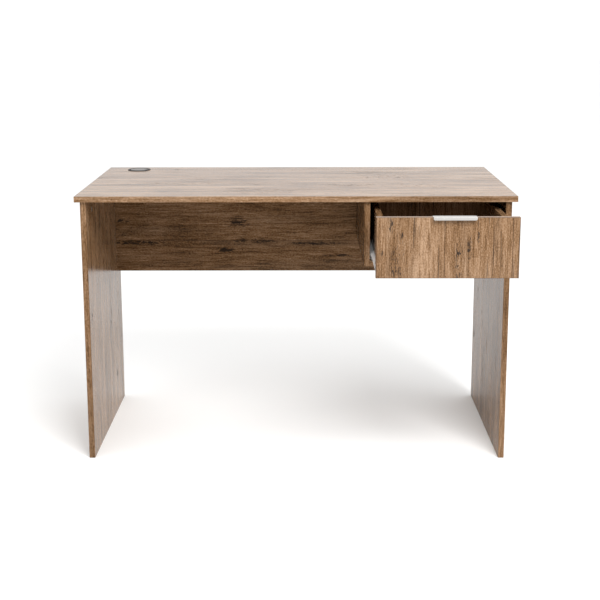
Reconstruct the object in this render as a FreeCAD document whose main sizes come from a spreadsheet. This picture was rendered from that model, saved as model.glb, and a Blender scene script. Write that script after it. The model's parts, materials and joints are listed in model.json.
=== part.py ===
"""Writing desk with panel legs, a modesty panel and one inset drawer on roller slides.

Millimetres, +Z up, +X to the right as seen by the user, who sits on the -Y side.
The origin is on the floor, in the middle of the overall width and of the overall depth
with the drawer standing open by drawer_open, which is the rest pose.
"""
import FreeCAD, Part
import os
import re
import Sketcher

DIMENSIONS = {
    # boards and edge bands
    "board": 16,
    "band": 1,
    "band_round": 0.5,
    # carcass
    "top_width": 1200,
    "top_depth": 600,
    "desk_height": 750,
    "side_overhang": 14,
    "front_recess": 10,
    "side_depth": 535,
    "modesty_back": 480,
    "modesty_height": 298,
    "divider_left": 186,
    "bay_height": 180,
    # cable grommet
    "grommet_left": -500,
    "grommet_back": 540,
    "grommet_hole_radius": 30,
    "liner_sleeve_radius": 29.8,
    "liner_flange_radius": 35.5,
    "liner_flange": 2,
    "liner_bore_radius": 27.5,
    "liner_ledge_radius": 25.5,
    "liner_ledge_drop": 1,
    "liner_depth": 18,
    "cap_radius": 27.2,
    "cap_thickness": 2.6,
    "cap_slot_width": 12,
    "cap_slot_inner": 17,
    "cap_slot_round": 4,
    # drawer box
    "drawer_open": 222,
    "front_side_gap": 2,
    "front_top_gap": 4,
    "front_bottom_gap": 2.5,
    "slide_gap": 12.5,
    "drawer_lift": 5,
    "drawer_side_height": 136,
    "drawer_side_length": 400,
    "drawer_bottom": 3,
    "groove": 3.2,
    "groove_depth": 5,
    "groove_lift": 10,
    "bottom_end_play": 0.5,
    # edge pull on the drawer front
    "pull_length": 110.5,
    "pull_offset": 17,
    "pull_metal": 1.5,
    "pull_reach": 10,
    "pull_lip": 7.5,
    "pull_leg": 22,
    "pull_corner": 4.5,
    "pull_screw_spacing": 80,
    "pull_screw_drop": 14,
    # roller slides
    "rail_length": 398,
    "rail_setback": 2,
    "rail_steel": 1.2,
    "rail_bend": 1,
    "rail_lift": 1,
    "channel_height": 18.2,
    "channel_foot": 10.3,
    "channel_lip": 6.5,
    "channel_lip_start": 28,
    "drawer_rail_top": 20.2,
    "drawer_rail_bottom": 2.8,
    "drawer_rail_wing": 2,
    "drawer_rail_leg": 12.7,
    "roller_radius": 7.5,
    "roller_width": 7,
    "roller_bore": 3.05,
    "roller_inset": 14,
    "roller_mid": 6.2,
    "cabinet_roller_rise": 11.2,
    "drawer_roller_rise": 9,
    "axle_radius": 3,
    "axle_head_radius": 4.5,
    "axle_head": 0.8,
    "axle_reach": 9.9,
    # fasteners
    "cam_radius": 7.3,
    "cam_height": 12,
    "cam_hole_radius": 7.5,
    "cam_hole_depth": 12.5,
    "cam_distance": 34,
    "bolt_shank_radius": 3,
    "bolt_neck_radius": 1.8,
    "bolt_thread_radius": 2.5,
    "bolt_thread": 10,
    "bolt_bore_radius": 4,
    "bolt_hole_radius": 2.6,
    "bolt_hole_depth": 11,
    "dowel_radius": 4,
    "dowel_hole_radius": 4.1,
    "dowel_face_depth": 10,
    "dowel_edge_depth": 20,
    "confirmat_head_radius": 4.75,
    "confirmat_shank_radius": 3.4,
    "confirmat_length": 50,
    "confirmat_sink": 3.2,
    "small_screw_head_radius": 3.5,
    "small_screw_shank_radius": 1.7,
    "small_screw_length": 12,
    "hole_clearance": 0.1,
    "hole_spare": 1,
    "pilot_spare": 2,
    # where the fasteners stand along their boards
    "side_cam_front": 88,
    "side_cam_back": 25,
    "side_dowel_front": 120,
    "side_dowel_rear": 430,
    "bay_cam_rear": 382,
    "bay_dowel": 235,
    "bay_screw_front": 173,
    "bay_screw_rear": 385,
    "bay_back_screw_left": 98,
    "bay_back_screw_right": 268,
    "modesty_cam_inset": 50,
    "modesty_dowel_step": 300,
    "divider_screw_low": 66,
    "divider_screw_high": 136,
    "rail_screw_front": 62,
    "rail_screw_middle": 200,
    "rail_screw_rear": 340,
    "drawer_rail_screw_front": 40,
    "drawer_rail_screw_rear": 330,
    "drawer_cam_low": 50,
    "drawer_cam_high": 108,
    "drawer_dowel_height": 79,
    "drawer_screw_low": 40,
    "drawer_screw_high": 105,
}

doc = FreeCAD.newDocument("writing_desk")
sheet = doc.addObject("Spreadsheet::Sheet", "Dims")
for row, (alias, number) in enumerate(DIMENSIONS.items(), start=1):
    sheet.set(f"A{row}", alias)
    sheet.set(f"B{row}", str(number))
    sheet.setAlias(f"B{row}", alias)
doc.recompute()

NAME = re.compile(r"[A-Za-z_]\w*")
SUB_PARTS = []


# ---------------------------------------------------------------- expressions

def cells(text):
    """The expression with every dimension's name turned into its cell."""
    return NAME.sub(lambda m: "Dims." + m.group() if m.group() in DIMENSIONS else m.group(), str(text))


def value(text):
    return float(sheet.evalExpression(cells(text)))


def put(thing, place, rotation=None):
    """Bind an object's placement to three expressions."""
    thing.Placement = FreeCAD.Placement(FreeCAD.Vector(), rotation or FreeCAD.Rotation())
    for axis, text in zip("xyz", place):
        thing.setExpression(f"Placement.Base.{axis}", cells(text))


# Levels and lines that several pieces share, as expressions.
FRONT = "((pull_reach + drawer_open - front_recess - top_depth) / 2)"
PANEL_FRONT = f"({FRONT} + front_recess)"
PANEL_BACK = f"({PANEL_FRONT} + side_depth)"
MODESTY_FRONT = f"({FRONT} + modesty_back)"
MODESTY_MID = f"({MODESTY_FRONT} + board / 2)"
UNDER_TOP = "(desk_height - board)"
LEG_OUT = "(top_width / 2 - side_overhang)"
LEG_IN = f"({LEG_OUT} - board)"
BAY_LEFT = "(divider_left + board)"
BAY_RIGHT = LEG_IN
BAY_MID = f"(({BAY_LEFT} + {BAY_RIGHT}) / 2)"
BAY_BOTTOM = f"({UNDER_TOP} - bay_height)"
BAY_FLOOR = f"({BAY_BOTTOM} + board)"
RAIL_BASE = f"({BAY_FLOOR} + rail_lift)"
DRAWER_FACE = f"({PANEL_FRONT} - drawer_open)"
DRAWER_BACK_OF_FRONT = f"({DRAWER_FACE} + board)"
DRAWER_END = f"({DRAWER_BACK_OF_FRONT} + drawer_side_length)"
DRAWER_BOTTOM = f"({BAY_FLOOR} + drawer_lift)"
DRAWER_TOP = f"({DRAWER_BOTTOM} + drawer_side_height)"
DRAWER_LEFT = f"({BAY_LEFT} + slide_gap)"
DRAWER_RIGHT = f"({BAY_RIGHT} - slide_gap)"
FRONT_LEFT = f"({BAY_LEFT} + front_side_gap)"
FRONT_RIGHT = f"({BAY_RIGHT} - front_side_gap)"
FRONT_BOTTOM = f"({BAY_FLOOR} + front_bottom_gap)"
FRONT_TOP = f"({UNDER_TOP} - front_top_gap)"
CABINET_RAIL_FRONT = f"({PANEL_FRONT} + board + rail_setback)"
DRAWER_RAIL_FRONT = f"({DRAWER_BACK_OF_FRONT} + rail_setback)"


# ---------------------------------------------------------------- sketches and features

def sub_part(thing, label):
    thing.Label = label
    SUB_PARTS.append(thing)
    return thing


def new_body(name):
    return doc.addObject("PartDesign::Body", name)


def new_sketch(body, plane, lift="0"):
    """A sketch on one of the body's own origin planes, moved along its normal."""
    sketch = body.newObject("Sketcher::SketchObject", "Sketch")
    support = next(f for f in body.Origin.OriginFeatures if f.Role == plane)
    sketch.AttachmentSupport = [(support, "")]
    sketch.MapMode = "FlatFace"
    sketch.setExpression("AttachmentOffset.Base.z", cells(lift))
    return sketch


def pin(sketch, piece, end, point):
    """Hold one point of the sketch at two expressions."""
    for kind, axis, text in (("DistanceX", -2, point[0]), ("DistanceY", -1, point[1])):
        number = value(text)
        if abs(number) < 1e-9:
            sketch.addConstraint(Sketcher.Constraint("PointOnObject", piece, end, axis))
        else:
            index = sketch.addConstraint(Sketcher.Constraint(kind, -1, 1, piece, end, number))
            sketch.setExpression(f"Constraints[{index}]", cells(text))


def polygon(sketch, points):
    corners = [FreeCAD.Vector(value(x), value(y), 0) for x, y in points]
    first = sketch.GeometryCount
    count = len(points)
    for i in range(count):
        sketch.addGeometry(Part.LineSegment(corners[i], corners[(i + 1) % count]))
    for i in range(count):
        sketch.addConstraint(Sketcher.Constraint("Coincident", first + i, 2, first + (i + 1) % count, 1))
        pin(sketch, first + i, 1, points[i])


def box_outline(sketch, low, high):
    polygon(sketch, [low, (high[0], low[1]), high, (low[0], high[1])])


def circle(sketch, centre, radius):
    middle = FreeCAD.Vector(value(centre[0]), value(centre[1]), 0)
    index = sketch.addGeometry(Part.Circle(middle, FreeCAD.Vector(0, 0, 1), value(radius)))
    pin(sketch, index, 3, centre)
    bound = sketch.addConstraint(Sketcher.Constraint("Radius", index, value(radius)))
    sketch.setExpression(f"Constraints[{bound}]", cells(radius))


def pad(body, sketch, length, flip=False):
    feature = body.newObject("PartDesign::Pad", "Pad")
    feature.Profile = sketch
    feature.Reversed = flip
    feature.setExpression("Length", cells(length))
    return feature


def pocket(body, sketch, depth, flip=False):
    """Cut, and make sure that the cut took material away."""
    doc.recompute()
    before = body.Shape.Volume
    feature = body.newObject("PartDesign::Pocket", "Pocket")
    feature.Profile = sketch
    feature.Reversed = flip
    feature.setExpression("Length", cells(depth))
    doc.recompute()
    if body.Shape.Volume >= before - 1e-3:
        raise SystemExit(f"{body.Name}: a pocket removed nothing")
    return feature


def round_edges(body, radius, wanted):
    """Fillet the edges of the body's tip whose end points pass the test."""
    doc.recompute()
    base = body.Tip
    names = [
        f"Edge{i}"
        for i, edge in enumerate(base.Shape.Edges, start=1)
        if len(edge.Vertexes) == 2 and wanted(edge.Vertexes[0].Point, edge.Vertexes[1].Point)
    ]
    if not names:
        raise SystemExit(f"{body.Name}: no edge to round")
    feature = body.newObject("PartDesign::Fillet", "Fillet")
    feature.Base = (base, names)
    feature.setExpression("Radius", cells(radius))
    return feature


def revolve(body, points):
    """Turn a profile of (along the axis, radius) points about the body's X axis."""
    sketch = new_sketch(body, "XY_Plane")
    polygon(sketch, points)
    feature = body.newObject("PartDesign::Revolution", "Revolution")
    feature.Profile = sketch
    feature.ReferenceAxis = (sketch, ["H_Axis"])
    feature.Angle = 360
    return feature


# ---------------------------------------------------------------- boards, bands and holes

class Board:
    """A flat board: its low corner and size as expressions, in the desk's own frame."""

    FACES = {
        "+X": ("YZ_Plane", 0, 1, False), "-X": ("YZ_Plane", 0, 0, True),
        "+Y": ("XZ_Plane", 1, -1, True), "-Y": ("XZ_Plane", 1, 0, False),
        "+Z": ("XY_Plane", 2, 1, False), "-Z": ("XY_Plane", 2, 0, True),
    }

    def __init__(self, label, low, high):
        self.low = low
        self.size = [f"({b}) - ({a})" for a, b in zip(low, high)]
        self.body = sub_part(new_body(label), label)
        sketch = new_sketch(self.body, "XY_Plane")
        box_outline(sketch, ("0", "0"), (self.size[0], self.size[1]))
        pad(self.body, sketch, self.size[2])
        put(self.body, low)

    def local(self, face, place):
        """Two desk-frame expressions in a face's plane, moved to the board's corner."""
        normal = self.FACES[face][1]
        axes = [i for i in range(3) if i != normal]
        return tuple(f"({text}) - ({self.low[i]})" for i, text in zip(axes, place))

    def face_sketch(self, face):
        plane, normal, lift, flip = self.FACES[face]
        return new_sketch(self.body, plane, f"({self.size[normal]}) * {lift}"), flip

    def drill(self, face, places, radius, depth):
        sketch, flip = self.face_sketch(face)
        for place in places:
            circle(sketch, self.local(face, place), radius)
        pocket(self.body, sketch, depth, flip)

    def cut(self, face, low, high, depth):
        sketch, flip = self.face_sketch(face)
        box_outline(sketch, self.local(face, low), self.local(face, high))
        pocket(self.body, sketch, depth, flip)


DIRECTIONS = {
    "+X": (1, 0, 0), "-X": (-1, 0, 0), "+Y": (0, 1, 0), "-Y": (0, -1, 0), "+Z": (0, 0, 1), "-Z": (0, 0, -1),
}


def edge_band(label, along, outward, start, length):
    """A strip with two rounded long edges, glued to a board's edge.

    start is the middle of the board's edge at the strip's first end, as expressions.
    """
    body = sub_part(new_body(label), label)
    sketch = new_sketch(body, "XY_Plane")
    box_outline(sketch, ("-board / 2", "0"), ("board / 2", "band"))
    pad(body, sketch, length)
    thickness = value("band")
    round_edges(body, "band_round", lambda a, b: abs(a.x - b.x) + abs(a.y - b.y) < 1e-6
                and abs(a.y - thickness) < 1e-6)
    run = FreeCAD.Vector(*DIRECTIONS["+" + along])
    out = FreeCAD.Vector(*DIRECTIONS[outward])
    put(body, start, FreeCAD.Rotation(out.cross(run), out, run, "ZYX"))
    return body


def group(label, master, places):
    """One node of identical loose pieces: linked copies of a master, each at its own place."""
    copies = []
    for place, rotation in places:
        copy = doc.addObject("App::Link", f"{label}_copy")
        copy.LinkedObject = master
        put(copy, place, rotation)
        copies.append(copy)
    compound = doc.addObject("Part::Compound", label)
    compound.Links = copies
    return sub_part(compound, label)


def mirror_across_bay(label, source):
    """The right-hand twin of a left-hand slide part."""
    twin = doc.addObject("Part::Mirroring", label)
    twin.Source = source
    twin.Normal = FreeCAD.Vector(1, 0, 0)
    twin.setExpression("Base.x", cells(BAY_MID))
    return sub_part(twin, label)


def turned(axis, degrees):
    return FreeCAD.Rotation(FreeCAD.Vector(*axis), degrees)


# Rotations that take a fastener, which points along +X with its head end at the origin.
TO_RIGHT = turned((0, 0, 1), 0)
TO_LEFT = turned((0, 0, 1), 180)
TO_BACK = turned((0, 0, 1), 90)
TO_FRONT = turned((0, 0, 1), -90)
UP = turned((0, 1, 0), -90)

# ---------------------------------------------------------------- holes and fastener lines

DOWEL_FACE_HOLE = "(dowel_face_depth + hole_spare)"
DOWEL_EDGE_HOLE = "(dowel_edge_depth + hole_spare)"
CONFIRMAT_HOLE = "(confirmat_shank_radius + hole_clearance)"
CONFIRMAT_RECESS = "(confirmat_head_radius + hole_clearance)"
CONFIRMAT_PILOT = "(confirmat_length - board + pilot_spare)"
SMALL_HOLE = "(small_screw_shank_radius + hole_clearance)"
SMALL_RECESS = "(small_screw_head_radius + hole_clearance)"
SMALL_DEPTH = "(small_screw_length + hole_spare)"

CAM_LEVEL = f"({UNDER_TOP} - cam_distance)"
SIDE_CAM_LINES = [f"{PANEL_FRONT} + side_cam_front", f"{PANEL_BACK} - side_cam_back"]
SIDE_DOWEL_LINES = [f"{PANEL_FRONT} + side_dowel_front", f"{PANEL_FRONT} + side_dowel_rear"]
BAY_LINES = [f"{PANEL_FRONT} + side_cam_front", f"{PANEL_FRONT} + bay_cam_rear"]
BAY_DOWEL_LINE = f"{PANEL_FRONT} + bay_dowel"
BAY_SCREW_LINES = [f"{PANEL_FRONT} + bay_screw_front", f"{PANEL_FRONT} + bay_screw_rear"]
BAY_BACK_SCREWS = [f"{BAY_LEFT} + bay_back_screw_left", f"{BAY_LEFT} + bay_back_screw_right"]
MODESTY_BOTTOM = f"({UNDER_TOP} - modesty_height)"
MODESTY_CAM_LEVELS = [f"{UNDER_TOP} - modesty_cam_inset", f"{MODESTY_BOTTOM} + modesty_cam_inset"]
MODESTY_DOWEL_LEVEL = f"({UNDER_TOP} - modesty_height / 2)"
MODESTY_DOWEL_LINES = ["-modesty_dowel_step", "0", "modesty_dowel_step"]
DIVIDER_MID = "(divider_left + board / 2)"
DIVIDER_SCREW_LEVELS = [f"{BAY_BOTTOM} + divider_screw_low", f"{BAY_BOTTOM} + divider_screw_high"]
BAY_FLOOR_MID = f"({BAY_BOTTOM} + board / 2)"
LEG_MID = f"({LEG_IN} + board / 2)"
RAIL_SCREW_LINES = [f"{CABINET_RAIL_FRONT} + rail_screw_{place}" for place in ("front", "middle", "rear")]
RAIL_SCREW_LEVEL = f"({RAIL_BASE} + channel_height / 2)"
DRAWER_RAIL_SCREWS = [f"{DRAWER_RAIL_FRONT} + drawer_rail_screw_{place}" for place in ("front", "rear")]
DRAWER_CAM_LEVELS = [f"{DRAWER_BOTTOM} + drawer_cam_low", f"{DRAWER_BOTTOM} + drawer_cam_high"]
DRAWER_DOWEL_LEVEL = f"({DRAWER_BOTTOM} + drawer_dowel_height)"
DRAWER_SCREW_LEVELS = [f"{DRAWER_BOTTOM} + drawer_screw_low", f"{DRAWER_BOTTOM} + drawer_screw_high"]
DRAWER_BACK_MID = f"({DRAWER_END} - board / 2)"
DRAWER_SIDE_MIDS = [f"{DRAWER_LEFT} + board / 2", f"{DRAWER_RIGHT} - board / 2"]
PULL_MID = f"(({FRONT_LEFT} + {FRONT_RIGHT}) / 2 + pull_offset)"
PULL_SCREWS = [f"{PULL_MID} - pull_screw_spacing / 2", f"{PULL_MID} + pull_screw_spacing / 2"]
PULL_SCREW_LEVEL = f"({FRONT_TOP} - pull_screw_drop)"

# ---------------------------------------------------------------- carcass boards


def make_top():
    back = f"{FRONT} + top_depth"
    top = Board("desk_top",
                ("band - top_width / 2", f"{FRONT} + band", UNDER_TOP),
                ("top_width / 2 - band", f"{back} - band", "desk_height"))
    top.drill("+Z", [("grommet_left", f"{FRONT} + grommet_back")], "grommet_hole_radius", "board")
    bolts = [(x, y) for x in (f"-{LEG_MID}", LEG_MID) for y in SIDE_CAM_LINES]
    bolts += [(DIVIDER_MID, y) for y in BAY_LINES]
    top.drill("-Z", bolts, "bolt_hole_radius", "bolt_hole_depth")
    dowels = [(x, y) for x in (f"-{LEG_MID}", LEG_MID) for y in SIDE_DOWEL_LINES]
    dowels += [(DIVIDER_MID, BAY_DOWEL_LINE)]
    dowels += [(x, MODESTY_MID) for x in MODESTY_DOWEL_LINES]
    top.drill("-Z", dowels, "dowel_hole_radius", DOWEL_FACE_HOLE)
    middle = "desk_height - board / 2"
    edge_band("top_front_band", "X", "-Y", ("-top_width / 2", f"{FRONT} + band", middle), "top_width")
    edge_band("top_back_band", "X", "+Y", ("-top_width / 2", f"{back} - band", middle), "top_width")
    short = "top_depth - 2 * band"
    edge_band("top_left_band", "Y", "-X", ("band - top_width / 2", f"{FRONT} + band", middle), short)
    edge_band("top_right_band", "Y", "+X", ("top_width / 2 - band", f"{FRONT} + band", middle), short)


def make_side_panel(side, low_x, high_x, inner_face, middle):
    panel = Board(f"{side}_side_panel",
                  (low_x, f"{PANEL_FRONT} + band", "0"),
                  (high_x, f"{PANEL_BACK} - band", UNDER_TOP))
    panel.drill(inner_face, [(y, CAM_LEVEL) for y in SIDE_CAM_LINES], "cam_hole_radius", "cam_hole_depth")
    panel.drill("+Z", [(middle, y) for y in SIDE_CAM_LINES], "bolt_bore_radius", "cam_distance")
    panel.drill("+Z", [(middle, y) for y in SIDE_DOWEL_LINES], "dowel_hole_radius", DOWEL_EDGE_HOLE)
    bolts = [(MODESTY_MID, z) for z in MODESTY_CAM_LEVELS]
    if side == "right":
        bolts += [(y, BAY_FLOOR_MID) for y in BAY_LINES]
        screws = [(y, RAIL_SCREW_LEVEL) for y in RAIL_SCREW_LINES]
        panel.drill(inner_face, screws, SMALL_HOLE, SMALL_DEPTH)
    panel.drill(inner_face, bolts, "bolt_hole_radius", "bolt_hole_depth")
    panel.drill(inner_face, [(MODESTY_MID, MODESTY_DOWEL_LEVEL)], "dowel_hole_radius", DOWEL_FACE_HOLE)
    front, back = f"{PANEL_FRONT} + band", f"{PANEL_BACK} - band"
    edge_band(f"{side}_panel_front_band", "Z", "-Y", (middle, front, "0"), UNDER_TOP)
    edge_band(f"{side}_panel_back_band", "Z", "+Y", (middle, back, "0"), UNDER_TOP)


def make_modesty_panel():
    panel = Board("modesty_panel",
                  (f"-{LEG_IN}", MODESTY_FRONT, f"{MODESTY_BOTTOM} + band"),
                  (LEG_IN, f"{MODESTY_FRONT} + board", UNDER_TOP))
    cam_lines = (f"cam_distance - {LEG_IN}", f"{LEG_IN} - cam_distance")
    cams = [(x, z) for x in cam_lines for z in MODESTY_CAM_LEVELS]
    panel.drill("+Y", cams, "cam_hole_radius", "cam_hole_depth")
    for face in ("-X", "+X"):
        panel.drill(face, [(MODESTY_MID, z) for z in MODESTY_CAM_LEVELS], "bolt_bore_radius", "cam_distance")
        panel.drill(face, [(MODESTY_MID, MODESTY_DOWEL_LEVEL)], "dowel_hole_radius", DOWEL_EDGE_HOLE)
    dowels = [(x, MODESTY_MID) for x in MODESTY_DOWEL_LINES]
    panel.drill("+Z", dowels, "dowel_hole_radius", DOWEL_EDGE_HOLE)
    screws = [(DIVIDER_MID, z) for z in DIVIDER_SCREW_LEVELS]
    screws += [(x, BAY_FLOOR_MID) for x in BAY_BACK_SCREWS]
    panel.drill("+Y", screws, CONFIRMAT_HOLE, "board")
    panel.drill("+Y", screws, CONFIRMAT_RECESS, "confirmat_sink")
    start = (f"-{LEG_IN}", MODESTY_MID, f"{MODESTY_BOTTOM} + band")
    edge_band("modesty_bottom_band", "X", "-Z", start, f"2 * {LEG_IN}")


def make_divider():
    divider = Board("drawer_divider",
                    ("divider_left", f"{PANEL_FRONT} + band", f"{BAY_BOTTOM} + band"),
                    (BAY_LEFT, MODESTY_FRONT, UNDER_TOP))
    divider.drill("+X", [(y, CAM_LEVEL) for y in BAY_LINES], "cam_hole_radius", "cam_hole_depth")
    divider.drill("+Z", [(DIVIDER_MID, y) for y in BAY_LINES], "bolt_bore_radius", "cam_distance")
    divider.drill("+Z", [(DIVIDER_MID, BAY_DOWEL_LINE)], "dowel_hole_radius", DOWEL_EDGE_HOLE)
    divider.drill("+X", [(y, RAIL_SCREW_LEVEL) for y in RAIL_SCREW_LINES], SMALL_HOLE, SMALL_DEPTH)
    screws = [(y, BAY_FLOOR_MID) for y in BAY_SCREW_LINES]
    divider.drill("-X", screws, CONFIRMAT_HOLE, "board")
    divider.drill("-X", screws, CONFIRMAT_RECESS, "confirmat_sink")
    pilots = [(DIVIDER_MID, z) for z in DIVIDER_SCREW_LEVELS]
    divider.drill("+Y", pilots, CONFIRMAT_HOLE, CONFIRMAT_PILOT)
    start = (DIVIDER_MID, f"{PANEL_FRONT} + band", f"{BAY_BOTTOM} + band")
    edge_band("divider_front_band", "Z", "-Y", start, "bay_height - band")
    start = (DIVIDER_MID, PANEL_FRONT, f"{BAY_BOTTOM} + band")
    edge_band("divider_bottom_band", "Y", "-Z", start, f"{MODESTY_FRONT} - {PANEL_FRONT}")


def make_bay_floor():
    floor = Board("bay_floor",
                  (BAY_LEFT, f"{PANEL_FRONT} + band", BAY_BOTTOM),
                  (BAY_RIGHT, MODESTY_FRONT, BAY_FLOOR))
    floor.drill("-X", [(y, BAY_FLOOR_MID) for y in BAY_SCREW_LINES], CONFIRMAT_HOLE, CONFIRMAT_PILOT)
    floor.drill("+Y", [(x, BAY_FLOOR_MID) for x in BAY_BACK_SCREWS], CONFIRMAT_HOLE, CONFIRMAT_PILOT)
    cams = [(f"{BAY_RIGHT} - cam_distance", y) for y in BAY_LINES]
    floor.drill("-Z", cams, "cam_hole_radius", "cam_hole_depth")
    floor.drill("+X", [(y, BAY_FLOOR_MID) for y in BAY_LINES], "bolt_bore_radius", "cam_distance")
    start = (BAY_LEFT, f"{PANEL_FRONT} + band", BAY_FLOOR_MID)
    edge_band("bay_floor_front_band", "X", "-Y", start, f"{BAY_RIGHT} - {BAY_LEFT}")


# ---------------------------------------------------------------- drawer boards


def make_drawer_front():
    middle = f"({DRAWER_FACE} + board / 2)"
    low = (f"{FRONT_LEFT} + band", DRAWER_FACE, f"{FRONT_BOTTOM} + band")
    high = (f"{FRONT_RIGHT} - band", DRAWER_BACK_OF_FRONT, f"{FRONT_TOP} - band")
    front = Board("drawer_front", low, high)
    bolts = [(x, z) for x in DRAWER_SIDE_MIDS for z in DRAWER_CAM_LEVELS]
    front.drill("+Y", bolts, "bolt_hole_radius", "bolt_hole_depth")
    dowels = [(x, DRAWER_DOWEL_LEVEL) for x in DRAWER_SIDE_MIDS]
    front.drill("+Y", dowels, "dowel_hole_radius", DOWEL_FACE_HOLE)
    pull_screws = [(x, PULL_SCREW_LEVEL) for x in PULL_SCREWS]
    front.drill("+Y", pull_screws, SMALL_HOLE, "small_screw_length")
    front.cut("+Y", (f"{DRAWER_LEFT} + board - groove_depth", f"{DRAWER_BOTTOM} + groove_lift"),
              (f"{DRAWER_RIGHT} - board + groove_depth", f"{DRAWER_BOTTOM} + groove_lift + groove"),
              "groove_depth")
    width = f"{FRONT_RIGHT} - {FRONT_LEFT}"
    edge_band("drawer_front_top_band", "X", "+Z", (FRONT_LEFT, middle, high[2]), width)
    edge_band("drawer_front_bottom_band", "X", "-Z", (FRONT_LEFT, middle, low[2]), width)
    height = f"{high[2]} - ({low[2]})"
    edge_band("drawer_front_left_band", "Z", "-X", (low[0], middle, low[2]), height)
    edge_band("drawer_front_right_band", "Z", "+X", (high[0], middle, low[2]), height)


def make_drawer_side(side, low_x, high_x, outer_face, inner_face, middle):
    panel = Board(f"drawer_{side}_side",
                  (low_x, DRAWER_BACK_OF_FRONT, DRAWER_BOTTOM),
                  (high_x, DRAWER_END, f"{DRAWER_TOP} - band"))
    cam_line = f"{DRAWER_BACK_OF_FRONT} + cam_distance"
    panel.drill(outer_face, [(cam_line, z) for z in DRAWER_CAM_LEVELS], "cam_hole_radius", "cam_hole_depth")
    panel.drill("-Y", [(middle, z) for z in DRAWER_CAM_LEVELS], "bolt_bore_radius", "cam_distance")
    panel.drill("-Y", [(middle, DRAWER_DOWEL_LEVEL)], "dowel_hole_radius", DOWEL_EDGE_HOLE)
    screws = [(DRAWER_BACK_MID, z) for z in DRAWER_SCREW_LEVELS]
    panel.drill(outer_face, screws, CONFIRMAT_HOLE, "board")
    panel.drill(outer_face, screws, CONFIRMAT_RECESS, "confirmat_sink")
    panel.drill("-Z", [(middle, y) for y in DRAWER_RAIL_SCREWS], SMALL_HOLE, SMALL_DEPTH)
    panel.cut(inner_face, (DRAWER_BACK_OF_FRONT, f"{DRAWER_BOTTOM} + groove_lift"),
              (DRAWER_END, f"{DRAWER_BOTTOM} + groove_lift + groove"), "groove_depth")
    start = (middle, DRAWER_BACK_OF_FRONT, f"{DRAWER_TOP} - band")
    edge_band(f"drawer_{side}_side_band", "Y", "+Z", start, "drawer_side_length")


def make_drawer_back_and_bottom():
    inner_left = f"{DRAWER_LEFT} + board"
    inner_right = f"{DRAWER_RIGHT} - board"
    back = Board("drawer_back",
                 (inner_left, f"{DRAWER_END} - board", DRAWER_BOTTOM),
                 (inner_right, DRAWER_END, f"{DRAWER_TOP} - band"))
    screws = [(DRAWER_BACK_MID, z) for z in DRAWER_SCREW_LEVELS]
    for face in ("-X", "+X"):
        back.drill(face, screws, CONFIRMAT_HOLE, CONFIRMAT_PILOT)
    back.cut("-Y", (inner_left, f"{DRAWER_BOTTOM} + groove_lift"),
             (inner_right, f"{DRAWER_BOTTOM} + groove_lift + groove"), "groove_depth")
    start = (inner_left, DRAWER_BACK_MID, f"{DRAWER_TOP} - band")
    edge_band("drawer_back_band", "X", "+Z", start, f"{inner_right} - ({inner_left})")
    grip = "(groove_depth - bottom_end_play)"
    level = f"({DRAWER_BOTTOM} + groove_lift)"
    Board("drawer_bottom",
          (f"{inner_left} - {grip}", f"{DRAWER_BACK_OF_FRONT} - {grip}", level),
          (f"{inner_right} + {grip}", f"{DRAWER_END} - board + {grip}", f"{level} + drawer_bottom"))


# ---------------------------------------------------------------- roller slides


def rail_body(name, outline, corners):
    """Bent steel strip along Y, its outline drawn in (distance from the bay's wall, height)."""
    body = new_body(name)
    sketch = new_sketch(body, "XZ_Plane")
    polygon(sketch, outline)
    pad(body, sketch, "rail_length", flip=True)
    for radius, places in corners:
        wanted = [(value(x), value(z)) for x, z in places]
        round_edges(body, radius, lambda a, b: abs(a.y - b.y) > 1 and any(
            abs(a.x - x) < 1e-6 and abs(a.z - z) < 1e-6 for x, z in wanted))
    return body


def make_cabinet_rails():
    """A channel on the bay's wall: foot, web and lip, open towards the drawer."""
    steel = "rail_steel"
    outline = [("0", "0"), ("channel_foot", "0"), ("channel_foot", steel), (steel, steel),
               (steel, "channel_height - rail_steel"), ("channel_lip", "channel_height - rail_steel"),
               ("channel_lip", "channel_height"), ("0", "channel_height")]
    body = rail_body("left_cabinet_rail", outline, [
        ("rail_bend + rail_steel", [outline[0], outline[7]]),
        ("rail_bend", [outline[3], outline[4]]),
    ])
    sketch = new_sketch(body, "XZ_Plane")
    box_outline(sketch, ("rail_steel + 0.01", "channel_height - rail_steel - rail_bend - 0.2"),
                ("channel_lip + 1", "channel_height + 1"))
    pocket(body, sketch, "channel_lip_start")
    sketch = new_sketch(body, "YZ_Plane", "rail_steel + rail_bend")
    circle(sketch, ("roller_inset", "cabinet_roller_rise"), "axle_radius + 0.05")
    for line in RAIL_SCREW_LINES:
        circle(sketch, (f"{line} - {CABINET_RAIL_FRONT}", "channel_height / 2"), SMALL_RECESS)
    pocket(body, sketch, "2 * rail_steel + rail_bend")
    stop = new_sketch(body, "XZ_Plane", "-rail_length")
    box_outline(stop, ("rail_steel / 2", "rail_steel / 2"),
                ("channel_foot - 1", "channel_height - rail_steel / 2"))
    pad(body, stop, steel)
    lug = new_sketch(body, "XZ_Plane", "-70")
    box_outline(lug, ("rail_steel + rail_bend + 1", "rail_steel / 2"),
                ("channel_foot - 1", "rail_steel + 5"))
    pad(body, lug, "2", flip=True)
    put(body, (BAY_LEFT, CABINET_RAIL_FRONT, RAIL_BASE))
    sub_part(body, "left_cabinet_rail")
    mirror_across_bay("right_cabinet_rail", body)


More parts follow.
